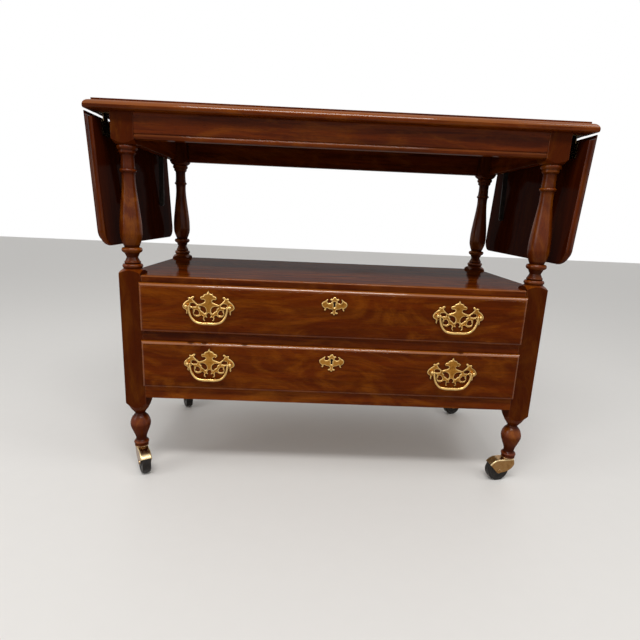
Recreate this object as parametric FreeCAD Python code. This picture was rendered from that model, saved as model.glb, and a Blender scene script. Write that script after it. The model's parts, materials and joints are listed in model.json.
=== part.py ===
import FreeCAD, Part
import math
import os

# A mahogany bar cart: four turned posts carry a moulded top with two hanging leaves on
# rule joints, a shelf, a case with two lipped drawers, and brass casters.
# Sizes are in millimetres. The floor is z = 0, the drawers face -Y, and the origin lies
# under the middle of the tabletop. Left is -X and right is +X, seen from the front.

os.makedirs("parts", exist_ok=True)

# Posts
post_side = 44.5
post_spacing_x = 860.0
post_spacing_y = 369.0
leg_length = 112.5
case_block_foot = 12.5
baluster_length = 265.5
top_block_length = 50.0

# Turned outlines, upwards, as shares of the turning's length and of half the post's side
leg_shares = [
    [(0, 0.674)],
    [(0.036, 0.674)],
    [(0.036, 0.607), (0.071, 0.733), (0.107, 0.607)],
    [(0.129, 0.512), (0.196, 0.544), (0.267, 0.665), (0.382, 0.885), (0.489, 0.989), (0.569, 0.908),
     (0.631, 0.764)],
    [(0.676, 0.562)],
    [(0.711, 0.463)],
    [(0.782, 0.719), (0.836, 0.899), (0.876, 1), (0.933, 1.213), (1, 1.438)],
]
baluster_shares = [
    [(0, 1.438), (0.013, 1.222), (0.03, 0.921)],
    [(0.038, 0.822)],
    [(0.04, 0.836), (0.056, 0.93), (0.072, 0.836)],
    [(0.074, 0.674), (0.085, 0.742), (0.096, 0.665)],
    [(0.124, 0.508)],
    [(0.156, 0.674)],
    [(0.166, 0.854), (0.182, 0.93), (0.198, 0.854)],
    [(0.203, 0.652), (0.22, 0.733), (0.25, 0.867), (0.277, 0.957), (0.303, 0.989), (0.333, 0.991),
     (0.39, 0.971), (0.446, 0.908), (0.503, 0.831), (0.559, 0.753), (0.616, 0.67), (0.672, 0.607),
     (0.718, 0.584), (0.755, 0.598)],
    [(0.766, 0.611), (0.778, 0.733), (0.791, 0.62)],
    [(0.797, 0.62), (0.842, 0.584), (0.894, 0.593)],
    [(0.908, 0.755)],
    [(0.927, 0.755)],
    [(0.928, 0.809), (0.945, 0.899), (0.962, 0.809)],
    [(0.963, 0.876), (0.981, 1.169), (1, 1.438)],
]

# Tabletop and leaves
top_overhang_x = 43.75
top_overhang_y = 16.25
top_thickness = 20.0
edge_step = 3.5
edge_round = 12.0
under_round = 4.0
leaf_width = 257.6
leaf_corner = 32.0
lip_gap = 0.8
cove_gap = 1.6
pin_inset = 3.0
pin_drop = 3.0
leaf_hang_degrees = 93.0

# Rule joint hinges
hinge_inset_y = 39.0
hinge_length = 38.0
knuckle_length = 20.0
knuckle_gap = 0.3
knuckle_radius = 3.0
hinge_pin_radius = 1.5
pin_clearance = 0.05
hinge_plate = 1.6
top_plate_gap = 3.75
top_plate_setback = 4.5
leaf_plate_reach = 45.0
pocket_clearance = 0.4

# Prop stays under the leaves
stay_length = 150.0
stay_offset = 9.75
stay_inset = 42.25
stay_width = 12.0
stay_thickness = 3.0
stay_tip_clearance = 0.4
bracket_plate = 1.6
bracket_height = 26.0
bracket_width = 20.0
ear_thickness = 2.5
ear_root = 18.0
rivet_radius = 2.5
rivet_head_radius = 4.0
rivet_head = 1.0
side_clearance = 0.3

# Aprons
apron_thickness = 19.0
apron_setback = 1.0
apron_bead = 8.5
apron_bead_depth = 1.5
apron_groove = 1.8

# Shelf and case
shelf_setback = 1.75
shelf_drop = 1.5
shelf_thickness = 19.0
drawer_opening = 96.5
divider_thickness = 29.0
bottom_rail_height = 32.0
side_panel_thickness = 19.0
side_panel_setback = 1.5
back_panel_thickness = 12.0
back_panel_setback = 1.5
runner_ledge = 19.75
runner_depth = 19.0
runner_guide = 22.0

# Drawers
lip_cover = 4.5
lip_cover_x = 2.5
lip_thickness = 10.0
lip_flat = 2.5
lip_round = 6.5
lip_ledge = 1.0
lip_step = 1.0
front_core = 12.0
drawer_clearance = 1.0
drawer_rest_gap = 0.3
drawer_side_thickness = 12.0
drawer_side_height = 80.0
drawer_back_gap = 38.25
drawer_back_thickness = 10.0
drawer_back_height = 57.0
drawer_bottom_thickness = 5.0
drawer_bottom_rise = 10.0
drawer_groove = 4.0

# Bail pulls, with outlines as shares of half the back plate's width
pull_inset = 143.25
pull_half_width = 54.5
brass_plate = 1.8
plate_shares = [
    [(0, 0.785)],
    [(0.056, 0.665), (0.12, 0.647), (0.162, 0.625), (0.192, 0.583)],
    [(0.194, 0.565), (0.26, 0.552), (0.312, 0.512), (0.316, 0.457), (0.27, 0.413), (0.2, 0.417)],
    [(0.15, 0.39), (0.148, 0.345), (0.2, 0.302), (0.29, 0.265), (0.4, 0.232)],
    [(0.4, 0.232), (0.482, 0.292), (0.553, 0.362), (0.603, 0.43)],
    [(0.603, 0.43), (0.554, 0.466), (0.537, 0.52), (0.58, 0.547), (0.637, 0.52), (0.682, 0.476)],
    [(0.682, 0.476), (0.735, 0.494), (0.779, 0.477), (0.77, 0.42)],
    [(0.77, 0.398), (0.856, 0.34), (0.935, 0.268), (0.98, 0.198), (1, 0.115), (0.967, 0.048), (0.9, 0.006)],
    [(0.864, -0.02), (0.866, -0.1), (0.85, -0.16), (0.82, -0.167), (0.8, -0.12), (0.794, -0.05)],
    [(0.77, -0.025), (0.72, 0.004), (0.69, 0.048), (0.65, 0.066), (0.614, 0.04), (0.603, -0.02)],
    [(0.603, -0.02), (0.612, -0.1), (0.595, -0.187), (0.537, -0.257), (0.45, -0.282), (0.363, -0.26),
     (0.303, -0.212)],
    [(0.25, -0.207), (0.218, -0.255), (0.227, -0.33), (0.211, -0.397), (0.165, -0.424), (0.133, -0.403)],
    [(0.133, -0.393), (0.163, -0.36), (0.157, -0.302), (0.112, -0.28), (0.072, -0.294), (0.044, -0.273)],
    [(0.044, -0.263), (0.078, -0.22), (0.063, -0.16), (0, -0.11)],
]
window_shares = [
    [[(0.145, -0.117), (0.106, -0.06), (0.103, 0.02), (0.143, 0.097), (0.226, 0.148), (0.318, 0.15),
      (0.372, 0.12)],
     [(0.338, 0.094), (0.303, 0.06), (0.298, 0.01), (0.26, -0.028), (0.2, -0.068), (0.165, -0.112)]],
    [[(0.494, 0.139), (0.492, 0.2), (0.532, 0.246), (0.618, 0.262), (0.69, 0.244)],
     [(0.698, 0.19), (0.67, 0.144), (0.618, 0.132), (0.55, 0.139)]],
    [[(0.442, 0), (0.398, -0.053), (0.372, -0.13), (0.388, -0.169), (0.46, -0.186), (0.542, -0.167),
      (0.561, -0.12)],
     [(0.537, -0.085), (0.528, -0.055), (0.526, -0.02), (0.488, 0.005)]],
]
pull_post_shares = (0.83, 0.16)
pull_pivot_depth = 8.5
pull_base_radius = 4.4
pull_base_length = 1.8
pull_neck_radius = 2.1
pull_eye_radius = 4.2
pull_screw_radius = 2.0
pull_nut_radius = 5.0
pull_nut_length = 2.5
bail_end_radius = 2.4
bail_pin_radius = 1.6
bail_pin_length = 7.0
bail_shares = [(0.735, 0.16), (0.733, 0.083), (0.72, -0.02), (0.677, -0.18), (0.592, -0.33),
               (0.468, -0.44), (0.32, -0.485), (0.16, -0.5), (0, -0.495)]
bail_radius_shares = [0.039, 0.04, 0.041, 0.043, 0.046, 0.05, 0.055, 0.059, 0.06]

# Keyhole plates, with their outline as shares of half the width
keyhole_half_width = 27.25
keyhole_rise = 21.4
keyhole_radius = 2.6
keyhole_slot = 3.2
keyhole_slot_length = 9.4
keyhole_offset = 5.0
keyhole_shares = [
    [(0, 0.665), (0.062, 0.655), (0.115, 0.605), (0.16, 0.525)],
    [(0.2, 0.5), (0.285, 0.51), (0.35, 0.475), (0.36, 0.425), (0.3, 0.378)],
    [(0.25, 0.36), (0.238, 0.28), (0.28, 0.215), (0.36, 0.175), (0.45, 0.165), (0.525, 0.2),
     (0.555, 0.28), (0.53, 0.375)],
    [(0.49, 0.4), (0.5, 0.455), (0.56, 0.475), (0.62, 0.445)],
    [(0.62, 0.445), (0.7, 0.375), (0.8, 0.3), (0.9, 0.25), (0.98, 0.15), (1, 0.07), (0.98, -0.03),
     (0.92, -0.125), (0.84, -0.2)],
    [(0.765, -0.25), (0.765, -0.33), (0.79, -0.39), (0.76, -0.44), (0.69, -0.435), (0.645, -0.385),
     (0.625, -0.26)],
    [(0.6, -0.235), (0.5, -0.255), (0.42, -0.305), (0.3, -0.32), (0.2, -0.345), (0.145, -0.4),
     (0.125, -0.47)],
    [(0.125, -0.48), (0.17, -0.535), (0.25, -0.56), (0.285, -0.615), (0.25, -0.68), (0.17, -0.685)],
    [(0.1, -0.675), (0.075, -0.735), (0.04, -0.78), (0, -0.79)],
]

# Casters
wheel_radius = 25.4
wheel_width = 19.5
wheel_rim_round = 3.0
wheel_dish = 1.5
wheel_hub_radius = 8.5
wheel_dish_radius = 19.0
caster_trail = 25.0
hood_wheel_gap = 1.8
hood_wheel_side_gap = 1.0
hood_wall = 1.5
hood_shell = 1.6
hood_round = 3.0
hood_lip_degrees = 35.0
hood_boss_radius = 6.0
axle_radius = 3.0
axle_head_radius = 5.0
axle_head = 1.2
kingpin_radius = 4.0
kingpin_clearance = 0.06
kingpin_end_gap = 3.8
socket_radius = 5.5
socket_depth = 35.0
socket_flange_radius = 15.0
socket_flange = 2.5
socket_gap = 0.3
# Rear and lower edge of the hood's side, as shares of the trail and of the hood's height
hood_side_shares = [(-0.372, 1), (-0.432, 0.867), (-0.456, 0.747), (-0.332, 0.635), (-0.088, 0.526),
                    (0.232, 0.45), (0.752, 0.406)]
hood_back_share = 0.456
hood_chord_shares = (1.16, 0.378)
# Where each wheel trails to at rest, as an angle from +X towards +Y
swivel_degrees = {"front_left": -59.0, "front_right": 190.0, "rear_left": -62.0, "rear_right": 200.0}

# One overrun for all cuts, and the distance under which two points are one
overrun = 2.0
same_point = 0.001

# Places worked out from the sizes above
hood_radius = wheel_radius + hood_wheel_gap + hood_shell
cavity_radius = wheel_radius + hood_wheel_gap
hood_top = wheel_radius + hood_radius
hood_half_width = wheel_width / 2 + hood_wheel_side_gap + hood_wall
hood_back = hood_back_share * caster_trail
flange_low = hood_top + socket_gap
caster_height = flange_low + socket_flange
kingpin_hole = kingpin_radius + kingpin_clearance
half_side = post_side / 2
post_x = post_spacing_x / 2
post_y = post_spacing_y / 2
inner_x = post_x - half_side
inner_y = post_y - half_side
outer_x = post_x + half_side
outer_y = post_y + half_side
case_low = caster_height + leg_length
case_floor = case_low + case_block_foot
lower_low = case_floor + bottom_rail_height
upper_low = lower_low + drawer_opening + divider_thickness
shelf_under = upper_low + drawer_opening
shelf_face = shelf_under + shelf_thickness
case_high = shelf_face + shelf_drop
top_block_low = case_high + baluster_length
top_under = top_block_low + top_block_length
top_face = top_under + top_thickness
top_length = 2 * (outer_x + top_overhang_x)
top_depth = 2 * (outer_y + top_overhang_y)
joint_centre_x = top_length / 2 - edge_round
joint_centre_z = top_face - edge_step - edge_round
hinge_x = joint_centre_x - pin_inset
hinge_z = joint_centre_z - pin_drop
hinge_y = top_depth / 2 - hinge_inset_y - hinge_length / 2
lip_x = joint_centre_x + lip_gap
hinge_drop = hinge_z - top_under
hang = math.radians(leaf_hang_degrees)
lean = hang - math.pi / 2
apron_face_x = outer_x - apron_setback
stay_x = apron_face_x + stay_offset
stay_y = inner_y - stay_inset
stay_drop = (hinge_x - stay_x) * math.cos(lean) / (1 + math.sin(lean))
stay_z = hinge_z - stay_drop
stay_rise = stay_drop - hinge_drop - stay_tip_clearance - stay_width / 2
stay_rest = math.asin(stay_rise / stay_length) - hang
panel_face_x = outer_x - side_panel_setback
panel_inner_x = panel_face_x - side_panel_thickness
front_face_y = -outer_y - lip_thickness
core_back_y = -outer_y + front_core
drawer_half_width = inner_x - drawer_clearance
back_panel_y = outer_y - back_panel_setback - back_panel_thickness
drawer_back_y = back_panel_y - drawer_back_gap
pull_x = drawer_half_width - pull_inset
pull_post_x, pull_post_rise = [share * pull_half_width for share in pull_post_shares]
bail_arm_x = bail_shares[0][0] * pull_half_width
origin = FreeCAD.Vector(0, 0, 0)
x_axis = FreeCAD.Vector(1, 0, 0)
y_axis = FreeCAD.Vector(0, 1, 0)
z_axis = FreeCAD.Vector(0, 0, 1)
left_right = {"left": -1, "right": 1}
corners = {"front_left": (-1, -1), "front_right": (1, -1), "rear_left": (-1, 1), "rear_right": (1, 1)}
nodes = {}


def box(x_span, y_span, z_span):
    """A block between two places along each axis."""
    low = FreeCAD.Vector(min(x_span), min(y_span), min(z_span))
    size = [max(span) - min(span) for span in (x_span, y_span, z_span)]
    return Part.makeBox(*size, low)


def rod(radius, start, end):
    """A round bar between two points."""
    start = FreeCAD.Vector(*start)
    way = FreeCAD.Vector(*end) - start
    return Part.makeCylinder(radius, way.Length, start, way)


def arc(a, b, radius, start, end):
    """Three points of an arc about (a, b), from one angle in degrees to another."""
    angles = [math.radians(angle) for angle in (start, (start + end) / 2, end)]
    return [(a + radius * math.cos(angle), b + radius * math.sin(angle)) for angle in angles]


def on_xz(a, b):
    """Lays an outline upright, facing the front."""
    return FreeCAD.Vector(a, 0, b)


def on_yz(a, b):
    """Lays an outline upright, facing the side."""
    return FreeCAD.Vector(0, a, b)


def on_xy(a, b):
    """Lays an outline flat."""
    return FreeCAD.Vector(a, b, 0)


def run_edges(run):
    """A run of two points is a line, of three an arc, and of more a smooth curve."""
    if len(run) == 2:
        return [Part.LineSegment(*run).toShape()]
    if len(run) == 3:
        return [Part.Arc(*run).toShape()]
    if len(run) > 3:
        curve = Part.BSplineCurve()
        curve.interpolate(run)
        return [curve.toShape()]
    return []


def face(runs, place):
    """A flat face whose edge passes through the runs, which straight lines join."""
    placed = [[place(a, b) for a, b in run] for run in runs]
    edges = []
    for run, following in zip(placed, placed[1:] + placed[:1]):
        edges += run_edges(run)
        if run[-1].distanceToPoint(following[0]) > same_point:
            edges.append(Part.LineSegment(run[-1], following[0]).toShape())
    return Part.Face(Part.Wire(edges))


def prism(runs, place, start, end):
    """The outline drawn out along its normal, from one place on that axis to another."""
    normal = place(1, 0).cross(place(0, 1))
    way = FreeCAD.Vector(*[abs(value) for value in normal])
    return face(runs, place).translated(way * start).extrude(way * (end - start))


def mirrored(runs):
    return [[(-a, b) for a, b in reversed(run)] for run in reversed(runs)]


def two_sided(half):
    """A symmetric outline from its right-hand half."""
    return half + mirrored(half)


def in_size(shares, size):
    return [[(a * size, b * size) for a, b in run] for run in shares]


def across_x(shape):
    return shape.mirror(origin, x_axis)


def save(name, *shapes):
    """Keeps the solids of one node."""
    solids = [solid for shape in shapes for solid in shape.Solids]
    nodes[name] = solids[0] if len(solids) == 1 else Part.makeCompound(solids)


def turned_runs(shares, low, length):
    return [[(radius * half_side, low + height * length) for height, radius in run] for run in shares]


def build_posts():
    """Turned posts: the square blocks are what the square stock leaves of the turning."""
    runs = turned_runs(leg_shares, caster_height, leg_length)
    runs += turned_runs(baluster_shares, case_high, baluster_length)
    reach = runs[-1][-1][0]
    runs += [[(reach, top_under)], [(0, top_under)], [(0, caster_height)]]
    turning = face(runs, on_xz).revolve(origin, z_axis, 360)
    square = (-half_side, half_side)
    post = turning.common(box(square, square, (caster_height, top_under)))
    hole_start = (0, 0, caster_height - overrun)
    post = post.cut(rod(socket_radius, hole_start, (0, 0, caster_height + socket_depth)))
    for name, (side_x, side_y) in corners.items():
        save(f"{name}_post", post.translated(FreeCAD.Vector(side_x * post_x, side_y * post_y, 0)))


def stepped_round(reach, start, flat, radius, ledge, step):
    """The moulded edge: a flat, a quarter round, and a small raised step behind it."""
    centre = reach - radius
    crest = start + flat + radius
    inner = centre - ledge
    return [arc(centre, start + flat, radius, 0, 90), [(inner, crest)], [(inner, crest + step)]]


def hinge_pocket(y):
    """Room in the tabletop's underside for one hinge's knuckles and its leaf plate."""
    half = hinge_length / 2 + pocket_clearance
    radius = knuckle_radius + pocket_clearance
    barrel = rod(radius, (hinge_x, y - half, hinge_z), (hinge_x, y + half, hinge_z))
    slot = box((hinge_x - radius, hinge_x + radius), (y - half, y + half), (top_under - overrun, hinge_z))
    plate_room = box((hinge_x, top_length / 2 + overrun),
                     (y - knuckle_length / 2 - pocket_clearance, y + knuckle_length / 2 + pocket_clearance),
                     (top_under - overrun, top_under + pocket_clearance))
    return barrel.fuse([slot, plate_room])


def build_tabletop():
    """The fixed top: its section along X meets its section along Y in mitred mouldings."""
    flat = top_thickness - edge_step - edge_round
    half_x = top_length / 2
    half_y = top_depth / 2
    end = [[(half_x, top_under)]] + stepped_round(half_x, top_under, flat, edge_round, 0, edge_step)
    front = [arc(half_y - under_round, top_under + under_round, under_round, -90, 0)]
    front += stepped_round(half_y, top_under, flat, edge_round, 0, edge_step)
    lengthways = prism(two_sided(end), on_xz, -half_y, half_y)
    top = lengthways.common(prism(two_sided(front), on_yz, -half_x, half_x))
    for y in (-hinge_y, hinge_y):
        pocket = hinge_pocket(y)
        top = top.cut(pocket).cut(across_x(pocket))
    save("tabletop", top)


def leaf_layer(inset, low, high):
    """One layer of the open leaf, with its outer edges drawn in by an inset."""
    end = lip_x + leaf_width - inset
    half = top_depth / 2 - inset
    corner = leaf_corner - inset
    runs = [[(lip_x, -half)], arc(end - corner, corner - half, corner, -90, 0)]
    runs += [arc(end - corner, half - corner, corner, 0, 90), [(lip_x, half)]]
    return prism(runs, on_xy, low, high)


def open_leaf():
    """The right leaf as it lies beside the top when raised."""
    crest = top_face - edge_step
    base = leaf_layer(0, top_under, crest)
    outer = [edge for edge in base.Edges if edge.BoundBox.XMax > lip_x + same_point]
    upper = [edge for edge in outer if edge.BoundBox.ZMin > crest - same_point]
    base = base.makeFillet(edge_round, upper)
    outer = [edge for edge in base.Edges if edge.BoundBox.XMax > lip_x + same_point]
    lower = [edge for edge in outer if edge.BoundBox.ZMax < top_under + same_point]
    base = base.makeFillet(under_round, lower)
    leaf = base.fuse(leaf_layer(edge_round, crest, top_face))
    radius = edge_round + cove_gap
    angle = math.degrees(math.acos(lip_gap / radius))
    behind = lip_x - overrun
    cove = [arc(joint_centre_x, joint_centre_z, radius, 0, angle)]
    cove += [[(behind, joint_centre_z + radius)], [(behind, top_under - overrun)]]
    cove += [[(joint_centre_x + radius, top_under - overrun)]]
    half = top_depth / 2 + overrun
    return leaf.cut(prism(cove, on_xz, -half, half))


def hung(shape):
    """Turns a raised piece of the right leaf down to where it hangs."""
    return shape.rotated(FreeCAD.Vector(hinge_x, 0, hinge_z), y_axis, leaf_hang_degrees)


def build_leaves():
    leaf = hung(open_leaf())
    save("right_leaf", leaf)
    save("left_leaf", across_x(leaf))


def knuckle(start, end):
    hole = hinge_pin_radius + pin_clearance
    barrel = rod(knuckle_radius, (hinge_x, start, hinge_z), (hinge_x, end, hinge_z))
    bore = rod(hole, (hinge_x, start - overrun, hinge_z), (hinge_x, end + overrun, hinge_z))
    return barrel, bore


def top_hinge_plate(y):
    """The fixed half of a hinge: a plate under the top with two outer knuckles."""
    half = hinge_length / 2
    inner = knuckle_length / 2 + knuckle_gap
    plate_z = (top_under - hinge_plate, top_under)
    start = outer_x + top_plate_gap
    plate = box((start, hinge_x - top_plate_setback), (y - half, y + half), plate_z)
    bores = []
    for span in ((y - half, y - inner), (y + inner, y + half)):
        barrel, bore = knuckle(*span)
        plate = plate.fuse([box((start, hinge_x), span, plate_z), barrel])
        bores.append(bore)
    return plate.cut(bores)


def leaf_hinge_plate(y):
    """The moving half: a middle knuckle, a neck past the joint and a plate on the leaf."""
    half = hinge_length / 2
    middle = (y - knuckle_length / 2, y + knuckle_length / 2)
    plate_z = (top_under - hinge_plate, top_under)
    seat = joint_centre_x + edge_round + cove_gap
    neck = box((hinge_x, seat), middle, plate_z)
    plate = box((seat, hinge_x + leaf_plate_reach), (y - half, y + half), plate_z)
    barrel, bore = knuckle(*middle)
    return barrel.fuse([neck, plate]).cut(bore)


def build_hinges():
    half = hinge_length / 2
    fixed = []
    moving = []
    pins = []
    for y in (-hinge_y, hinge_y):
        fixed.append(top_hinge_plate(y))
        moving.append(hung(leaf_hinge_plate(y)))
        pins.append(rod(hinge_pin_radius, (hinge_x, y - half, hinge_z), (hinge_x, y + half, hinge_z)))
    save("top_hinge_plates", *fixed, *[across_x(shape) for shape in fixed])
    save("right_leaf_hinge_plates", *moving)
    save("left_leaf_hinge_plates", *[across_x(shape) for shape in moving])
    save("hinge_pins", *pins, *[across_x(shape) for shape in pins])


def stay_arm(y):
    """A flat arm with round ends that hangs from its rivet beside the leaf."""
    radius = stay_width / 2
    reach = (math.cos(stay_rest), math.sin(stay_rest))
    tip = (stay_x + stay_length * reach[0], stay_z + stay_length * reach[1])
    turn = math.degrees(stay_rest)
    ends = [arc(*tip, radius, turn - 90, turn + 90), arc(stay_x, stay_z, radius, turn + 90, turn + 270)]
    half = stay_thickness / 2
    hole = rivet_radius + pin_clearance
    bore = rod(hole, (stay_x, y - half - overrun, stay_z), (stay_x, y + half + overrun, stay_z))
    return prism(ends, on_xz, y - half, y + half).cut(bore)


def stay_bracket(y):
    """A plate on the side apron with an ear, and the rivet that the arm turns on."""
    half = stay_thickness / 2 + side_clearance
    back = apron_face_x
    root = ear_root / 2
    ear = [arc(stay_x, stay_z, stay_width / 2, -90, 90), [(back, stay_z + root)], [(back, stay_z - root)]]
    ear = prism(ear, on_xz, y + half, y + half + ear_thickness)
    middle = y + half + ear_thickness / 2
    plate_y = (middle - bracket_width / 2, middle + bracket_width / 2)
    plate_z = (stay_z - bracket_height / 2, stay_z + bracket_height / 2)
    plate = box((back, back + bracket_plate), plate_y, plate_z)
    rivet = rod(rivet_radius, (stay_x, y + half, stay_z), (stay_x, y - half, stay_z))
    head = rod(rivet_head_radius, (stay_x, y - half, stay_z), (stay_x, y - half - rivet_head, stay_z))
    return ear.fuse([plate, rivet, head])


def build_stays():
    brackets = []
    for end, y in (("front", -stay_y), ("rear", stay_y)):
        arm = stay_arm(y)
        bracket = stay_bracket(y)
        brackets += [bracket, across_x(bracket)]
        save(f"{end}_right_stay", arm)
        save(f"{end}_left_stay", across_x(arm))
    save("stay_brackets", *brackets)


def apron(length, front, turn):
    """A rail under the top with a half-round bead and a quirk along its lower edge."""
    low = top_block_low
    line = [(apron_bead_depth, low), (0, low + apron_bead / 2), (apron_bead_depth, low + apron_bead)]
    quirk = low + apron_bead + apron_groove
    runs = [line, [(apron_bead_depth, quirk)], [(0, quirk)], [(0, top_under)]]
    runs += [[(apron_thickness, top_under)], [(apron_thickness, low)]]
    rail = prism(runs, on_yz, -length / 2, length / 2).translated(FreeCAD.Vector(0, -front, 0))
    return rail.rotated(origin, z_axis, turn)


def build_aprons():
    save("front_apron", apron(2 * inner_x, outer_y - apron_setback, 0))
    save("right_apron", apron(2 * inner_y, apron_face_x, 90))
    save("back_apron", apron(2 * inner_x, outer_y - apron_setback, 180))
    save("left_apron", apron(2 * inner_y, apron_face_x, 270))


def build_case():
    """Shelf, rails and panels between the posts."""
    wide = (-inner_x, inner_x)
    deep = (-inner_y, inner_y)
    shelf_x = outer_x - shelf_setback
    shelf_z = (shelf_under, shelf_face)
    shelf = box((-shelf_x, shelf_x), deep, shelf_z).fuse(box(wide, (-outer_y, outer_y), shelf_z))
    save("shelf_panel", shelf.removeSplitter())
    rail_y = (-outer_y, -inner_y)
    save("divider_rail", box(wide, rail_y, (upper_low - divider_thickness, upper_low)))
    save("bottom_rail", box(wide, rail_y, (case_floor, lower_low)))
    back_y = (back_panel_y, back_panel_y + back_panel_thickness)
    save("back_panel", box(wide, back_y, (case_floor, shelf_under)))
    for name, side in left_right.items():
        panel_x = (side * panel_inner_x, side * panel_face_x)
        save(f"{name}_side_panel", box(panel_x, deep, (case_floor, shelf_under)))


def build_runners():
    """L-shaped bearers at both ends of each drawer: a ledge below and a guide beside."""
    ledge_x = inner_x - runner_ledge
    runners = []
    for low in (lower_low, upper_low):
        foot = low - runner_depth
        runs = [[(panel_inner_x, foot)], [(ledge_x, foot)], [(ledge_x, low)], [(inner_x, low)]]
        runs += [[(inner_x, low + runner_guide)], [(panel_inner_x, low + runner_guide)]]
        runner = prism(runs, on_xz, -inner_y, inner_y)
        runners += [runner, across_x(runner)]
    save("drawer_runners", *runners)


def lip_edge(reach):
    return [[(reach, 0)]] + stepped_round(reach, 0, lip_flat, lip_round, lip_ledge, lip_step)


def drawer_front(low):
    """A moulded front whose lips overlap the case, on a core that enters the opening."""
    half_z = drawer_opening / 2 + lip_cover
    middle = low + drawer_opening / 2
    half_x = inner_x + lip_cover_x
    forward = lambda a, b: FreeCAD.Vector(a, -outer_y - b, 0)
    upright = lambda a, b: FreeCAD.Vector(0, -outer_y - b, middle + a)
    tall = face(two_sided(lip_edge(half_x)), forward)
    tall = tall.translated(z_axis * (middle - half_z)).extrude(z_axis * (2 * half_z))
    broad = face(two_sided(lip_edge(half_z)), upright)
    broad = broad.translated(x_axis * -half_x).extrude(x_axis * (2 * half_x))
    core_z = (low + drawer_clearance, low + drawer_opening - drawer_clearance)
    core = box((-drawer_half_width, drawer_half_width), (-outer_y, core_back_y), core_z)
    return tall.common(broad).fuse(core)


def pull_screws(middle):
    """The holes' places for the two pulls' posts on one drawer."""
    places = []
    for pull in (-pull_x, pull_x):
        for side in (-pull_post_x, pull_post_x):
            places.append((pull + side, middle + pull_post_rise))
    return places


def build_drawer(name, low):
    """A drawer box: moulded front, two sides, a back, and a bottom held in grooves."""
    middle = low + drawer_opening / 2
    half = drawer_half_width
    inner = half - drawer_side_thickness
    rest = low + drawer_rest_gap
    bottom_low = low + drawer_bottom_rise
    bottom_high = bottom_low + drawer_bottom_thickness
    groove_x = inner + drawer_groove
    bottom_y = (core_back_y - drawer_groove, drawer_back_y)
    bottom = box((-groove_x, groove_x), bottom_y, (bottom_low, bottom_high))
    front = drawer_front(low).cut(bottom)
    for x, z in pull_screws(middle):
        hole_start = (x, front_face_y - overrun, z)
        front = front.cut(rod(pull_screw_radius, hole_start, (x, core_back_y + overrun, z)))
    side_z = (rest, rest + drawer_side_height)
    side = box((inner, half), (core_back_y, drawer_back_y), side_z).cut(bottom)
    back_y = (drawer_back_y - drawer_back_thickness, drawer_back_y)
    save(f"{name}_drawer_front", front)
    save(f"{name}_drawer_sides", side, across_x(side))
    save(f"{name}_drawer_bottom", bottom)
    save(f"{name}_drawer_back", box((-inner, inner), back_y, (bottom_high, bottom_high + drawer_back_height)))


def pull_plate():
    """The pierced back plate: a vase between two wings of scrolls."""
    size = pull_half_width
    plate = prism(two_sided(in_size(plate_shares, size)), on_xz, -brass_plate, 0)
    for runs in window_shares:
        window = prism(in_size(runs, size), on_xz, -brass_plate - overrun, overrun)
        plate = plate.cut(window.fuse(across_x(window)))
    for side in (-pull_post_x, pull_post_x):
        hole_start = (side, overrun, pull_post_rise)
        plate = plate.cut(rod(pull_screw_radius, hole_start, (side, -overrun - brass_plate, pull_post_rise)))
    return plate


def bail():
    """A cast handle: two arms whose ends turn outwards into the posts' eyes."""
    size = pull_half_width
    right = [(a * size, b * size, radius * size) for (a, b), radius in zip(bail_shares, bail_radius_shares)]
    left = [(-a, b, radius) for a, b, radius in reversed(right[:-1])]
    stations = right + left
    curve = Part.BSplineCurve()
    curve.interpolate([FreeCAD.Vector(a, -pull_pivot_depth, b) for a, b, radius in stations])
    rings = []
    for a, b, radius in stations:
        point = FreeCAD.Vector(a, -pull_pivot_depth, b)
        way = curve.tangent(curve.parameter(point))[0]
        rings.append(Part.Wire(Part.Circle(point, way, radius).toShape()))
    handle = Part.makeLoft(rings, True, False)
    ends = []
    for side in (-bail_arm_x, bail_arm_x):
        way = math.copysign(bail_pin_length, side)
        place = (side, -pull_pivot_depth, pull_post_rise)
        ends.append(Part.makeSphere(bail_end_radius, FreeCAD.Vector(*place)))
        ends.append(rod(bail_pin_radius, place, (side + way, -pull_pivot_depth, pull_post_rise)))
    return handle.fuse(ends)


def pull_post():
    """A right-hand post: eye, neck, base, and the screw through the front to its nut."""
    place = FreeCAD.Vector(pull_post_x, -pull_pivot_depth, pull_post_rise)
    hole_radius = bail_pin_radius + pin_clearance
    flat = bail_arm_x + bail_end_radius + side_clearance
    spread = pull_eye_radius + overrun
    eye = Part.makeSphere(pull_eye_radius, place)
    eye = eye.cut(box((flat, flat - spread), (-pull_pivot_depth - spread, -pull_pivot_depth + spread),
                      (pull_post_rise - spread, pull_post_rise + spread)))
    seat = -brass_plate
    base_end = seat - pull_base_length
    nut = lip_thickness + front_core
    along = lambda y: (pull_post_x, y, pull_post_rise)
    post = eye.fuse([rod(pull_base_radius, along(seat), along(base_end)),
                     rod(pull_neck_radius, along(seat), along(-pull_pivot_depth)),
                     rod(pull_screw_radius, along(seat), along(nut)),
                     rod(pull_nut_radius, along(nut), along(nut + pull_nut_length))])
    end = bail_arm_x + bail_pin_length + side_clearance
    hole = rod(hole_radius, (bail_arm_x, -pull_pivot_depth, pull_post_rise),
               (end, -pull_pivot_depth, pull_post_rise))
    return post.cut(hole)


def keyhole_plate():
    """A small shaped plate with a keyhole."""
    plate = prism(two_sided(in_size(keyhole_shares, keyhole_half_width)), on_xz, -brass_plate, 0)
    hole = rod(keyhole_radius, (0, overrun, keyhole_offset), (0, -brass_plate - overrun, keyhole_offset))
    slot = box((-keyhole_slot / 2, keyhole_slot / 2), (-brass_plate - overrun, overrun),
               (keyhole_offset - keyhole_slot_length, keyhole_offset))
    return plate.cut(hole.fuse(slot))


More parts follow.
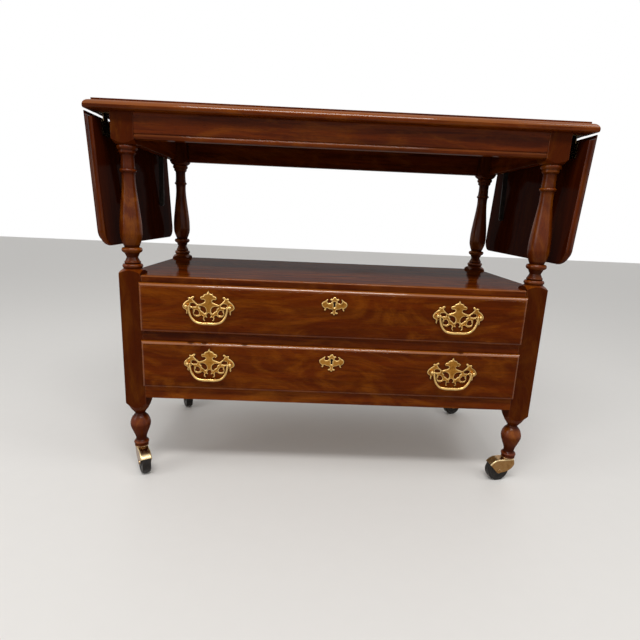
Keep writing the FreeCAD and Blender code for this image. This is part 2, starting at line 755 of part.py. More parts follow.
def build_hardware(name, low, shapes):
    """Pulls and a keyhole plate on one drawer."""
    plate, handle, post, keyhole = shapes
    middle = low + drawer_opening / 2
    posts = []
    for side_name, side in left_right.items():
        place = FreeCAD.Vector(side * pull_x, front_face_y, middle)
        save(f"{name}_{side_name}_pull_plate", plate.translated(place))
        save(f"{name}_{side_name}_bail", handle.translated(place))
        posts += [post.translated(place), across_x(post).translated(place)]
    save(f"{name}_pull_posts", *posts)
    save(f"{name}_keyhole_plate", keyhole.translated(FreeCAD.Vector(0, front_face_y, middle + keyhole_rise)))


def build_drawers():
    shapes = (pull_plate(), bail(), pull_post(), keyhole_plate())
    for name, low in (("upper", upper_low), ("lower", lower_low)):
        build_drawer(name, low)
        build_hardware(name, low, shapes)


def rounded_hood(shell):
    """The hood's block with its edges rounded over the crown and along the flat top."""
    edges = []
    for edge in shell.Edges:
        first, last = [vertex.Point for vertex in edge.Vertexes]
        on_side = abs(first.y - last.y) < same_point
        over_crown = isinstance(edge.Curve, Part.Circle)
        along_top = min(first.z, last.z) > hood_top - same_point
        if on_side and (over_crown or along_top):
            edges.append(edge)
    return shell.makeFillet(hood_round, edges)


def caster_hood():
    """A brass hood over the wheel, with the kingpin that it turns on."""
    half = hood_half_width
    inner = half - hood_wall
    middle = (caster_trail, wheel_radius)
    rear = [(a * caster_trail, b * hood_top) for a, b in hood_side_shares]
    chord = (hood_chord_shares[0] * caster_trail, hood_chord_shares[1] * hood_top)
    boss_low = (caster_trail, wheel_radius - hood_boss_radius)
    runs = [arc(*middle, hood_radius, hood_lip_degrees, 90), rear, [boss_low], [chord]]
    shell = rounded_hood(prism(runs, on_xz, -half, half))
    cavity = rod(cavity_radius, (caster_trail, -inner, wheel_radius), (caster_trail, inner, wheel_radius))
    rear_room = box((hood_shell - hood_back, caster_trail), (-inner, inner),
                    (-overrun, hood_top - hood_shell))
    pin_end = caster_height + socket_depth - kingpin_end_gap
    kingpin = rod(kingpin_radius, (0, 0, hood_top - hood_shell), (0, 0, pin_end))
    bore_end = half + overrun
    bore = rod(axle_radius, (caster_trail, -bore_end, wheel_radius), (caster_trail, bore_end, wheel_radius))
    return shell.cut([cavity, rear_room, bore]).fuse(kingpin)


def caster_wheel():
    """A wheel with rounded rims and dished faces, bored to run on the axle."""
    half = wheel_width / 2
    bore = axle_radius + pin_clearance
    rim = wheel_radius - wheel_rim_round
    side = [[(bore, half)], [(wheel_hub_radius, half)], [(wheel_hub_radius + wheel_dish, half - wheel_dish)]]
    side += [[(wheel_dish_radius, half - wheel_dish)], [(wheel_dish_radius + wheel_dish, half)]]
    side += [arc(rim, half - wheel_rim_round, wheel_rim_round, 90, 0)]
    other = [[(a, -b) for a, b in reversed(run)] for run in reversed(side)]
    wheel = face(side + other, on_xz).revolve(origin, z_axis, 360)
    return wheel.rotated(origin, x_axis, 90).translated(FreeCAD.Vector(caster_trail, 0, wheel_radius))


def caster_axle():
    half = hood_half_width
    along = lambda y: (caster_trail, y, wheel_radius)
    axle = rod(axle_radius, along(-half), along(half))
    heads = [rod(axle_head_radius, along(side * half), along(side * (half + axle_head))) for side in (-1, 1)]
    return axle.fuse(heads)


def caster_socket():
    """A flange under the leg and the tube in it that the kingpin turns in."""
    flange = rod(socket_flange_radius, (0, 0, flange_low), (0, 0, caster_height))
    tube = rod(socket_radius, (0, 0, caster_height), (0, 0, caster_height + socket_depth))
    bore = rod(kingpin_hole, (0, 0, flange_low - overrun), (0, 0, caster_height + socket_depth + overrun))
    return flange.fuse(tube).cut(bore)


def build_casters():
    hood = caster_hood()
    wheel = caster_wheel()
    axle = caster_axle()
    socket = caster_socket()
    sockets = []
    for name, (side_x, side_y) in corners.items():
        place = FreeCAD.Vector(side_x * post_x, side_y * post_y, 0)
        turn = swivel_degrees[name]
        sockets.append(socket.translated(place))
        save(f"{name}_caster_hood", hood.rotated(origin, z_axis, turn).translated(place))
        save(f"{name}_caster_wheel", wheel.rotated(origin, z_axis, turn).translated(place))
        save(f"{name}_caster_axle", axle.rotated(origin, z_axis, turn).translated(place))
    save("caster_sockets", *sockets)


build_posts()
build_tabletop()
build_leaves()
build_hinges()
build_stays()
build_aprons()
build_case()
build_runners()
build_drawers()
build_casters()
for name, shape in nodes.items():
    shape.exportStep(f"parts/{name}.step")
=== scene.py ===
import json
import math

import bmesh
import bpy
import numpy as np
from mathutils import Matrix, Vector
from mathutils.kdtree import KDTree


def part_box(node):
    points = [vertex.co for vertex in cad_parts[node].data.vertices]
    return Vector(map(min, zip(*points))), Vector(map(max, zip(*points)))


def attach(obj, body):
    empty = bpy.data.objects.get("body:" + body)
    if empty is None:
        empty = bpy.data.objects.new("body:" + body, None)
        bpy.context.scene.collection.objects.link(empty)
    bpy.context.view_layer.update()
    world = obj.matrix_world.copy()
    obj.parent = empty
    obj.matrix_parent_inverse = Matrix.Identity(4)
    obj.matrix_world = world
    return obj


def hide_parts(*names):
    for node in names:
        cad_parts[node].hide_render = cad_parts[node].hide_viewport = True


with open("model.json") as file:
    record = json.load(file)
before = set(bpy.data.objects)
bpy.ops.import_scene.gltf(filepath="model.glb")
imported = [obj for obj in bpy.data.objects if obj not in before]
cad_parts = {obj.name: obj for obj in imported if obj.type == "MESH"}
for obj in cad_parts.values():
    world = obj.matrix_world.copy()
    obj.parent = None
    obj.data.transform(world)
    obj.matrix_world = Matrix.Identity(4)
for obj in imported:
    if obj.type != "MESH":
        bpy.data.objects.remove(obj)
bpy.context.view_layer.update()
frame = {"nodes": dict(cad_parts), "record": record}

bl_info = {
    "name": "Bar cart dressing",
    "version": (1, 0, 0),
    "blender": (4, 5, 0),
    "location": "View3D > Sidebar > Bar cart",
    "description": "Dresses a drop leaf bar cart in polished mahogany and brass",
    "category": "Object",
}

MM = 0.001
SENSOR_WIDTH = 36.0

# Points of a CAD mesh that lie closer together are one
WELD = 0.002 * MM

# Neighbouring faces of a CAD mesh that differ by less are joined
FLAT_ANGLE = math.radians(0.05)

# Least step between two heights of a turning
HAIR = 0.01 * MM

# Cosine of the angle, 10 degrees, within which a face counts as square to an axis
SQUARE_ON = 0.985

BODIES = frame["record"]["behaviour"]["bodies"]
BODY_OF = {node: body for body, nodes in BODIES.items() for node in nodes}
DRAWERS = ("upper", "lower")
SIDES = ("left", "right")
CORNERS = ("front_left", "front_right", "rear_left", "rear_right")


# Sizes and colours

def length(name, description, default):
    """A size in metres that the user may change."""
    return bpy.props.FloatProperty(name=name, description=description, default=default, min=0.0,
                                   precision=5, subtype="DISTANCE", unit="LENGTH")


def colour(name, description, default):
    """A colour that the user may change, in linear light."""
    return bpy.props.FloatVectorProperty(name=name, description=description, default=default, size=3,
                                         min=0.0, max=1.0, subtype="COLOR")


def share(name, description, default):
    """A plain number, mostly from 0 to 1, that the user may change."""
    return bpy.props.FloatProperty(name=name, description=description, default=default, min=0.0,
                                   soft_max=1.0, subtype="FACTOR")


class CartWood(bpy.types.PropertyGroup):
    """Colours, gloss and sizes of the woodwork."""
    dark: colour("Dark grain", "Mahogany in its darkest streaks", (0.028, 0.0036, 0.0005))
    middle: colour("Middle tone", "Mahogany between its streaks", (0.115, 0.0185, 0.001))
    light: colour("Light figure", "Mahogany where the figure catches the light", (0.24, 0.064, 0.0035))
    inner_dark: colour("Drawer wood, dark", "Grain of the plain wood inside", (0.21, 0.12, 0.06))
    inner_light: colour("Drawer wood, light", "Ground of the plain wood inside", (0.47, 0.31, 0.17))
    polish: share("Polish", "Roughness of the wood where it is unworn", 0.2)
    gloss: share("Gloss", "How strongly the lacquer mirrors the room on flat faces", 0.11)
    edge_gloss: share("Edge gloss", "The same on mouldings and edges, which hands have polished", 0.8)
    easing: length("Edge easing", "Width by which sharp wood edges are rounded", 0.8 * MM)
    shelf_easing: length("Shelf easing", "Width of the rounding along the shelf's edges", 3.0 * MM)
    post_side: length("Post side", "Side of the square billet that a post is turned from", 44.5 * MM)
    thinnest: length("Thinnest turning", "Radius under which a post has only its caster's hole", 8.0 * MM)
    turning_step: length("Turning step", "Least distance between two points of an outline", 0.15 * MM)
    divisions: bpy.props.IntProperty(
        name="Divisions", description="Facets round a turned post", default=96, min=12)
    least_flat: bpy.props.FloatProperty(
        name="Least flat", description="Area under which a face of a post belongs to its turning",
        default=3e-4, unit="AREA", precision=6)


class CartBrass(bpy.types.PropertyGroup):
    """Colours of the metal, relief of the cast plates, and sizes of rounded edges and screws."""
    bright: colour("Bright brass", "Polished high places of the pulls", (0.68, 0.44, 0.16))
    # Colour of tarnish, also used for painted shade on the undersides of cast pieces
    aged: colour("Aged brass", "Tarnish in the low places", (0.12, 0.05, 0.012))
    # The field's colour is partly its bronzed finish and partly a painted reflection
    field: colour("Plate field", "Bronzed flat field of the pulls' plates", (0.36, 0.15, 0.02))
    caster: colour("Caster brass", "Paler brass of the caster hoods", (0.6, 0.45, 0.245))
    # Painted reflection and painted shade: the darker tone of the hoods' flat sides and undersides
    painted_caster_side: colour("Caster sides", "Bronzed flat sides of the caster hoods", (0.26, 0.125, 0.036))
    hinge: colour("Hinge brass", "Dull brass of the hinges", (0.2, 0.14, 0.07))
    iron: colour("Dark metal", "Bronzed stays and brackets", (0.05, 0.042, 0.036))
    rubbed_iron: colour("Rubbed metal", "The same where it is rubbed", (0.16, 0.13, 0.1))
    voxel: length("Casting grid", "Grid on which cast pieces are rounded", 0.42 * MM)
    relief: length("Relief", "How far the scrolls of the plates swell forward", 1.2 * MM)
    swell: length("Swell", "Distance from a plate's edge to its full relief", 2.6 * MM)
    hood_easing: length("Hood easing", "Width of the rounding on the caster hoods", 0.6 * MM)
    axle_easing: length("Axle easing", "Width of the rounding on the casters' axles", 0.4 * MM)
    socket_easing: length("Socket easing", "Width of the rounding on the casters' sockets", 0.5 * MM)
    hinge_easing: length("Hinge easing", "Width of the rounding on the hinges", 0.25 * MM)
    iron_easing: length("Stay easing", "Width of the rounding on stays and brackets", 0.3 * MM)
    pull_easing: length("Pull easing", "Width of the rounding on the posts of the pulls", 0.3 * MM)
    screw_radius: length("Screw radius", "Radius of the countersunk screw heads", 2.9 * MM)
    screw_rise: length("Screw rise", "How far a screw head stands proud", 0.35 * MM)


class CartDark(bpy.types.PropertyGroup):
    """Colours and rounding of the tyres, and colours of the painted shade sheets behind the keyholes."""
    rubber: colour("Rubber", "Hard rubber of the tyres", (0.011, 0.0085, 0.007))
    dust: colour("Dust", "Dust worn into the tyres", (0.07, 0.055, 0.045))
    # Painted shade in the keyholes: a dark sheet and its faint mottling
    lock: colour("Lock", "Iron seen through a keyhole", (0.006, 0.005, 0.004))
    keyhole_shade_fleck: colour("Worn lock", "The same where it is rubbed", (0.02, 0.014, 0.01))
    tyre_easing: length("Tyre easing", "Width of the rounding on the wheels", 0.5 * MM)


class CartStage(bpy.types.PropertyGroup):
    """Camera, lamps and floor."""
    camera_place: bpy.props.FloatVectorProperty(
        name="Camera place", description="Where the camera stands", size=3,
        default=(-0.04935, -1.14627, 0.59091), subtype="TRANSLATION", unit="LENGTH")
    camera_turn: bpy.props.FloatVectorProperty(
        name="Camera turn", description="Yaw, pitch and roll of the camera", size=3,
        default=[math.radians(angle) for angle in (-1.25, -13.0, 2.52)], subtype="EULER", unit="ROTATION")
    lens: bpy.props.FloatProperty(
        name="Lens", description="Focal length in millimetres, on film 36 mm wide", default=25.34,
        min=1.0, unit="CAMERA")
    floor_size: length("Floor size", "Side of the square floor", 14.0)
    floor: colour("Floor", "Colour of the floor", (0.74, 0.72, 0.69))
    world: share("World light", "Strength of the light from all round", 0.55)


# Shader maths

class Wire:
    """A shader socket that adds, subtracts and multiplies like a number."""

    def __init__(self, tree, socket=None):
        self.tree = tree
        self.socket = socket

    def node(self, kind, settings=None, inputs=None, output=0):
        """Adds a node: its settings first, then the value, the wire or the list of wires of each socket."""
        made = self.tree.nodes.new(kind)
        for name, value in (settings or {}).items():
            setattr(made, name, value)
        for name, value in (inputs or {}).items():
            parts = value if isinstance(value, list) else [value]
            wires = [part for part in parts if isinstance(part, Wire)]
            for wire in wires:
                self.tree.links.new(wire.socket, made.inputs[name])
            if not wires:
                made.inputs[name].default_value = value
        return Wire(self.tree, made.outputs[output] if made.outputs else None)

    def maths(self, operation, *values):
        """Adds a Math node."""
        return self.node("ShaderNodeMath", {"operation": operation}, dict(enumerate(values)))

    def __add__(self, other):
        return self.maths("ADD", self, other)

    def __sub__(self, other):
        return self.maths("SUBTRACT", self, other)

    def __rsub__(self, other):
        return self.maths("SUBTRACT", other, self)

    def __mul__(self, other):
        return self.maths("MULTIPLY", self, other)

    __radd__ = __add__

    def between(self, low, high):
        """Rises smoothly from 0 at low to 1 at high."""
        return self.node("ShaderNodeMapRange", {"interpolation_type": "SMOOTHSTEP"},
                         {0: self, 1: low, 2: high})

    def blend(self, first, second):
        """Colour that goes from the first to the second as this value goes from 0 to 1."""
        return self.node("ShaderNodeMix", {"data_type": "RGBA"},
                         {0: self, 6: opaque(first), 7: opaque(second)}, 2)


def opaque(value):
    """A colour as a Mix node takes it: a wire as it is, or three numbers with a fourth."""
    return value if isinstance(value, Wire) else (*value[:3], 1.0)


def new_material(name):
    """An empty material and its first wire."""
    material = bpy.data.materials.new(name)
    material.use_nodes = True
    tree = material.node_tree
    tree.nodes.clear()
    return material, Wire(tree)


def close_material(wire, inputs):
    """Ends a finish in one surface shader."""
    surface = wire.node("ShaderNodeBsdfPrincipled", inputs=inputs)
    wire.node("ShaderNodeOutputMaterial", inputs={"Surface": surface})


def noise(wire, place, scale, detail, roughness=0.5, distortion=0.0):
    """A cloudy pattern from 0 to 1."""
    inputs = {"Vector": place, "Scale": scale, "Detail": detail, "Roughness": roughness,
              "Distortion": distortion}
    return wire.node("ShaderNodeTexNoise", inputs=inputs)


def noted(wire, name):
    """A number that was noted on the mesh's faces or points, or 0 where none was."""
    return wire.node("ShaderNodeAttribute", {"attribute_name": name}, output="Fac")


def object_place(wire, scale=(1.0, 1.0, 1.0), shift=(0.0, 0.0, 0.0)):
    """Place on the object, moved and stretched for a pattern."""
    place = wire.node("ShaderNodeTexCoord", output="Object")
    return wire.node("ShaderNodeMapping", {"vector_type": "POINT"},
                     {"Vector": place, "Location": shift, "Scale": scale})


def grain(wire, pattern, along, shift):
    """One of the wood's patterns, with its grain along an axis of the object."""
    lengthwise, crosswise, *settings = pattern
    stretch = [lengthwise if axis == along else crosswise for axis in "xyz"]
    return noise(wire, object_place(wire, stretch, shift), 1.0, *settings)


def bumps(wire, height, relief):
    """Normal of a surface with the finest relief, given as its strength and depth."""
    strength, distance = relief
    return wire.node("ShaderNodeBump",
                     inputs={"Strength": strength, "Distance": distance, "Height": height})


def spot(wire, centre, reach):
    """1 at a place on the object, falling raggedly to 0 at each axis's reach from it."""
    place = wire.node("ShaderNodeTexCoord", output="Object")
    away = wire.node("ShaderNodeVectorMath", {"operation": "SUBTRACT"}, {0: place, 1: centre})
    scaled = wire.node("ShaderNodeVectorMath", {"operation": "DIVIDE"}, {0: away, 1: reach})
    distance = wire.node("ShaderNodeVectorMath", {"operation": "LENGTH"}, {0: scaled}, "Value")
    ragged = noise(wire, place, 420.0, 2.0) * 0.7 + distance
    return 1.0 - ragged.between(0.75, 1.25)


# Finishes

# Patterns of the wood: repeats to a metre along the grain and across it, then the detail, roughness
# and distortion of the noise
STREAKS = (3.2, 62.0, 5.0, 0.62, 0.5)
FIBRES = (26.0, 640.0, 2.0, 0.6, 0.0)
PORES = (70.0, 1500.0, 1.0, 0.5, 0.0)
SWIRLS = (5.0, 13.0, 4.0, 0.6, 2.6)
SCUFFS = (9.0, 9.0, 4.0, 0.7, 0.0)
PLAIN_STREAKS = (4.0, 90.0, 4.0, 0.6, 0.4)
PLAIN_FIBRES = (30.0, 800.0, 2.0, 0.6, 0.0)

# Steps along the three axes from the pattern of one seed to that of the next
MAHOGANY_STEPS = (0.37, 0.83, 0.59)
PLAIN_STEPS = (0.41, 0.73, 0.29)

# Finest relief of each surface, as strength and depth
LACQUER_RELIEF = (0.12, 0.15 * MM)
PLAIN_RELIEF = (0.25, 0.2 * MM)
BRASS_RELIEF = (0.12, 0.1 * MM)
RUBBER_RELIEF = (0.2, 0.1 * MM)


def mahogany(name, along, seed, figure, depth, shine, edge_shine, streak=0.75, painted_flat_shade=0.0,
             wear_and_highlight=0.0, coat=1.5, satin=0.09, marks=(), pale_marks=()):
    """Polished mahogany: streaks and pores along the grain under a worn coat of lacquer.

    Figure lightens it in swirls, depth darkens it all over and streak sets the contrast of its
    streaks. The share for flat shade darkens flat faces and the undersides of rounded faces: painted
    shade. The share for worn edges lightens rounded faces, most where they face up: real wear with a
    painted highlight. Shine and edge_shine share out the gloss of flat and rounded faces. Coat is the
    lacquer's index of refraction and satin its roughness. Marks and pale_marks are worn places, each
    with its reach. Where painted shade is noted on the mesh, the wood is darkened and its lacquer dimmed.
    """
    wood = bpy.context.scene.cart_wood
    material, wire = new_material(name)
    shift = [seed * step for step in MAHOGANY_STEPS]
    band = grain(wire, STREAKS, along, shift).between(0.34, 0.68)
    fibres = grain(wire, FIBRES, along, shift)
    pore = grain(wire, PORES, along, shift).between(0.6, 0.7)
    swirl = grain(wire, SWIRLS, along, shift).between(0.4, 0.78)
    scuffs = grain(wire, SCUFFS, along, shift).between(0.5, 0.85)
    rounded = noted(wire, "rounded")
    painted_shade = noted(wire, "painted_shade")

    # Streaks of less contrast keep their mean tone
    mean = 0.4 * (0.75 - streak) - depth
    base = (band * streak + fibres * 0.35 + mean).blend(wood.dark, wood.middle)
    base = (swirl * figure * (0.55 + fibres * 0.9)).blend(base, wood.light)
    base = (pore * 0.55).blend(base, wood.dark)
    # Worn edges, lightest where they face up: real wear with a painted highlight
    if wear_and_highlight:
        base = (rounded * rounded * wear_and_highlight * (0.8 + fibres * 0.4)).blend(base, wood.light)
    # Painted shade noted on the mesh: grooves and necks of the posts, inner faces of the leaves
    base = (painted_shade * 0.8).blend(base, wood.dark)
    # Painted shade on flat faces and on the undersides of rounded faces
    if painted_flat_shade:
        base = ((1.0 - rounded) * painted_flat_shade).blend(base, wood.dark)

    lacquer = (1.0 - scuffs * 0.35) * (rounded * (wood.edge_gloss * edge_shine) + wood.gloss * shine)
    # Painted shade also dims the lacquer's reflection
    lacquer = lacquer * (1.0 - painted_shade * 0.5)
    for centre, reach in marks:
        worn = spot(wire, centre, reach)
        base = (worn * 0.8).blend(base, wood.dark)
        lacquer = lacquer * (1.0 - worn * 0.8)
    for centre, reach in pale_marks:
        worn = spot(wire, centre, reach)
        base = (worn * 0.85).blend(base, wood.inner_light)
        lacquer = lacquer * (1.0 - worn)

    rough = scuffs * 0.16 + fibres * 0.05 + wood.polish
    normal = bumps(wire, fibres * 0.4 - pore * 0.7, LACQUER_RELIEF)
    close_material(wire, {"Base Color": base, "Roughness": rough, "Normal": normal,
                          "Specular IOR Level": 0.0, "Coat Weight": lacquer, "Coat IOR": coat,
                          "Coat Roughness": satin})
    return material


def plain_wood(name, along, seed):
    """Pale, unpolished wood of the drawer boxes and runners."""
    wood = bpy.context.scene.cart_wood
    material, wire = new_material(name)
    shift = [seed * step for step in PLAIN_STEPS]
    streaks = grain(wire, PLAIN_STREAKS, along, shift)
    fibres = grain(wire, PLAIN_FIBRES, along, shift)
    base = (streaks.between(0.3, 0.7) * 0.7 + fibres * 0.3).blend(wood.inner_dark, wood.inner_light)
    normal = bumps(wire, fibres, PLAIN_RELIEF)
    close_material(wire, {"Base Color": base, "Roughness": 0.5 + fibres * 0.2, "Normal": normal})
    return material


def cast_brass(name, bright, tarnish, relief=False, painted_side_tone=None):
    """Brass with tarnish in soft patches, and painted shade on faces that look down.

    With a relief, tarnish fills its low places and its flat field is bronzed; the field's colour is also a
    painted reflection, and the brighter slopes round it are painted highlights. A side tone, where given,
    colours the flat sides and the undersides of rounded faces: painted reflection and painted shade.
    """
    brass = bpy.context.scene.cart_brass
    material, wire = new_material(name)
    patches = noise(wire, object_place(wire), 85.0, 4.0, 0.65)
    fine = noise(wire, object_place(wire), 900.0, 2.0, 0.6)
    # Tarnish in soft patches, and painted shade where the surface faces down
    tarnish_and_shade = patches.between(0.48, 0.74) * tarnish + noted(wire, "painted_underside_shade") * 0.8
    if relief:
        height = noted(wire, "relief")
        tarnish_and_shade = tarnish_and_shade + (1.0 - height.between(0.1, 0.6)) * 0.75
        # Bronzed field, partly a painted reflection; the slopes round it keep bright brass as painted
        # highlights
        bright = (height.between(0.88, 1.0) * (0.75 + patches * 0.4)).blend(bright, brass.field)
    # Painted reflection and painted shade on flat sides and the undersides of rounded faces
    if painted_side_tone:
        bright = ((1.0 - noted(wire, "rounded")) * (0.7 + patches * 0.4)).blend(bright, painted_side_tone)
    base = tarnish_and_shade.blend(bright, brass.aged)
    normal = bumps(wire, fine, BRASS_RELIEF)
    close_material(wire, {"Base Color": base, "Metallic": 1.0, "Normal": normal,
                          "Roughness": 0.17 + patches * 0.12 + tarnish_and_shade * 0.2})
    return material


def dark_metal(name):
    """Bronzed metal, a little rubbed."""
    brass = bpy.context.scene.cart_brass
    material, wire = new_material(name)
    rubbed = noise(wire, object_place(wire), 60.0, 4.0, 0.7).between(0.5, 0.8)
    base = (rubbed * 0.5).blend(brass.iron, brass.rubbed_iron)
    close_material(wire, {"Base Color": base, "Metallic": 0.9, "Roughness": 0.42 + rubbed * 0.15})
    return material


def wheel_rubber(name):
    """Dark hard rubber with dust worn into the tread."""
    dark = bpy.context.scene.cart_dark
    material, wire = new_material(name)
    dust = noise(wire, object_place(wire), 70.0, 5.0, 0.7).between(0.45, 0.8)
    fine = noise(wire, object_place(wire), 1100.0, 2.0)
    base = (dust * 0.4).blend(dark.rubber, dark.dust)
    normal = bumps(wire, fine, RUBBER_RELIEF)
    close_material(wire, {"Base Color": base, "Roughness": 0.35 + dust * 0.3, "Normal": normal,
                          "Specular IOR Level": 0.2})
    return material


def keyhole_shade_finish(name):
    """Painted shade for the sheet in a keyhole: near black, faintly mottled."""
    dark = bpy.context.scene.cart_dark
    material, wire = new_material(name)
    fine = noise(wire, object_place(wire), 600.0, 3.0)
    base = fine.blend(dark.lock, dark.keyhole_shade_fleck)
    close_material(wire, {"Base Color": base, "Roughness": 0.6 + fine * 0.2, "Specular IOR Level": 0.1})
    return material


# Meshes

def welded(node, flatten=True):
    """A CAD node's mesh with its corners welded and, if asked, its flat faces joined up again."""
    work = bmesh.new()
    work.from_mesh(frame["nodes"][node].data)
    bmesh.ops.remove_doubles(work, verts=work.verts, dist=WELD)
    if flatten:
        bmesh.ops.dissolve_limit(work, angle_limit=FLAT_ANGLE, verts=work.verts, edges=work.edges)
    return work


def node_copy(node, name):
    """A piece with a CAD node's shape."""
    work = welded(node)
    mesh = bpy.data.meshes.new(name)
    work.to_mesh(mesh)
    work.free()
    return new_object(name, mesh)


def new_object(name, data):
    """Puts a mesh, a lamp or a camera into the scene."""
    made = bpy.data.objects.new(name, data)
    bpy.context.scene.collection.objects.link(made)
    return made


def baked(piece):
    """Turns a piece and its modifiers into one plain mesh."""
    graph = bpy.context.evaluated_depsgraph_get()
    mesh = bpy.data.meshes.new_from_object(piece.evaluated_get(graph))
    piece.modifiers.clear()
    piece.data = mesh
    return piece


def smooth(piece, angle):
    """Shades a piece smooth, but for edges sharper than an angle in degrees."""
    piece.data.shade_smooth()
    piece.data.set_sharp_from_angle(angle=math.radians(angle))


def note(piece, name, domain, values):
    """Notes a number on each face or point of a piece, for its finish to read."""
    attribute = piece.data.attributes.new(name, "FLOAT", domain)
    attribute.data.foreach_set("value", values)


def dress(piece, material, slot, body, *nodes):
    """Gives a finished piece its material, its body and the CAD nodes it stands for."""
    piece.data.materials.clear()
    piece.data.materials.append(material)
    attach(piece, body)
    if nodes:
        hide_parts(*nodes)


def eased(node, width, segments=3, angle=32.0):
    """A copy of a CAD node with its sharp edges rounded over a width."""
    piece = node_copy(node, f"eased_{node}")
    bevel = piece.modifiers.new("ease", "BEVEL")
    bevel.width = width
    bevel.segments = segments
    bevel.limit_method = "ANGLE"
    bevel.angle_limit = math.radians(angle)
    bevel.use_clamp_overlap = True
    bevel.miter_outer = "MITER_ARC"
    smooth(piece, angle)
    weighted = piece.modifiers.new("weights", "WEIGHTED_NORMAL")
    weighted.keep_sharp = True
    baked(piece)
    note_rounding(piece)
    return piece


def note_rounding(piece, least_flat=0.0):
    """Notes on every face how rounded it is and how far it faces up: 0 where flat, 0.3 underneath and 1 on
    top.

    A face is flat if it is square to the piece's broadest face, or to the axes beside it, and not
    smaller than least_flat. The finishes read the number for gloss, for worn edges with a painted
    highlight and, where asked, for painted shade and painted reflection on flats and undersides.
    """
    faces = piece.data.polygons
    upward = Vector((0.0, 0.0, 1.0))
    broadside = max(faces, key=lambda face: face.area).normal.copy()
    if abs(broadside.z) > 0.9:
        broadside = Vector((1.0, 0.0, 0.0))
    axes = (broadside, upward, broadside.cross(upward))
    rounding = []
    for face in faces:
        flat = max(abs(face.normal.dot(axis)) for axis in axes) >= SQUARE_ON
        upturned = min(1.0, max(0.0, (face.normal.z + 0.1) / 0.3))
        rounding.append(0.0 if flat and face.area >= least_flat else 0.3 + 0.7 * upturned)
    note(piece, "rounded", "FACE", rounding)


def cast(node, voxel, rounds=6):
    """A copy of a CAD node rounded all over, as a casting comes from its mould."""
    piece = node_copy(node, f"cast_{node}")
    remesh = piece.modifiers.new("grid", "REMESH")
    remesh.mode = "VOXEL"
    remesh.voxel_size = voxel
    soften = piece.modifiers.new("soften", "SMOOTH")
    soften.factor = 0.5
    soften.iterations = rounds
    baked(piece)
    smooth(piece, 80.0)
    # Painted shade: how far each point faces down, for its finish to darken
    note(piece, "painted_underside_shade", "POINT", [max(0.0, -vertex.normal.z) for vertex in piece.data.vertices])
    return piece


def front_outline(node, spacing):
    """Points along the front outline of a flat plate that faces -Y."""
    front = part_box(node)[0].y + 0.1 * MM
    work = welded(node, flatten=False)
    points = []
    for edge in work.edges:
        ends = [vertex.co for vertex in edge.verts]
        facing = [abs(face.normal.y) for face in edge.link_faces]
        if max(end.y for end in ends) < front and min(facing) < 0.5:
            steps = max(1, math.ceil((ends[1] - ends[0]).length / spacing))
            points += [ends[0].lerp(ends[1], step / steps) for step in range(steps)]
    work.free()
    return points


def swell_plate(piece, node):
    """Domes the scrolls of a cast plate, and notes how high each place is."""
    brass = bpy.context.scene.cart_brass
    points = front_outline(node, brass.voxel)
    tree = KDTree(len(points))
    for index, point in enumerate(points):
        tree.insert((point.x, 0.0, point.z), index)
    tree.balance()
    low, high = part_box(node)
    rises = []
    for vertex in piece.data.vertices:
        rise = 0.0
        if (high.y - vertex.co.y) / (high.y - low.y) > 0.5:
            distance = tree.find((vertex.co.x, 0.0, vertex.co.z))[2]
            rise = math.sin(math.pi / 2 * min(1.0, distance / brass.swell))
            vertex.co.y -= brass.relief * rise
        rises.append(rise)
    note(piece, "relief", "POINT", rises)


# Rules for turned and repeated pieces

# Just under half the diagonal of a square with a side of 1
HALF_DIAGONAL = 0.705

# Hollows of a turning that painted shade darkens, its grooves and then its necks: the reach of each along
# the post and the depth where it is darkest. Each kind gives at most the share below of all darkening.
HOLLOWS = ((6 * MM, 0.6 * MM), (35 * MM, 3 * MM))
SHADE_SHARE = 0.6

# Places of the screws on a hinge plate: shares of its half width across and of its reach along
SCREW_SPOTS = ((-0.62, 0.05), (0.62, 0.05), (0.0, 0.58))

# Facets round a screw head, its radius on top as a share of that below, and the size of the bar that
# cuts its slot, as shares of its radius, its radius and its rise
SCREW_FACETS = 24
SCREW_TAPER = 0.86
SCREW_SLOT = (2.4, 0.3, 1.2)


def rule_tree(name, sizes):
    """A node tree with a geometry in and out, and one named input for each size."""
    tree = bpy.data.node_groups.new(name, "GeometryNodeTree")
    tree.interface.new_socket("Geometry", in_out="OUTPUT", socket_type="NodeSocketGeometry")
    for label, kind in {"Geometry": "Geometry", "Material": "Material", **sizes}.items():
        tree.interface.new_socket(label, in_out="INPUT", socket_type=f"NodeSocket{kind}")
    entry = tree.nodes.new("NodeGroupInput")
    return tree, {socket.name: Wire(tree, socket) for socket in entry.outputs if socket.name}


def close_rule(entry, shape):
    """Ends a rule: instances made real and the material set."""
    real = shape.node("GeometryNodeRealizeInstances", inputs={"Geometry": shape})
    dressed = shape.node("GeometryNodeSetMaterial",
                         inputs={"Geometry": real, "Material": entry["Material"]})
    shape.node("NodeGroupOutput", inputs={"Geometry": dressed})


def follow_rule(piece, tree, values):
    """Runs a rule on a piece and keeps the result as its plain mesh."""
    modifier = piece.modifiers.new("rule", "NODES")
    modifier.node_group = tree
    for item in tree.interface.items_tree:
        if item.in_out == "INPUT" and item.name in values:
            modifier[item.identifier] = values[item.name]
    return baked(piece)


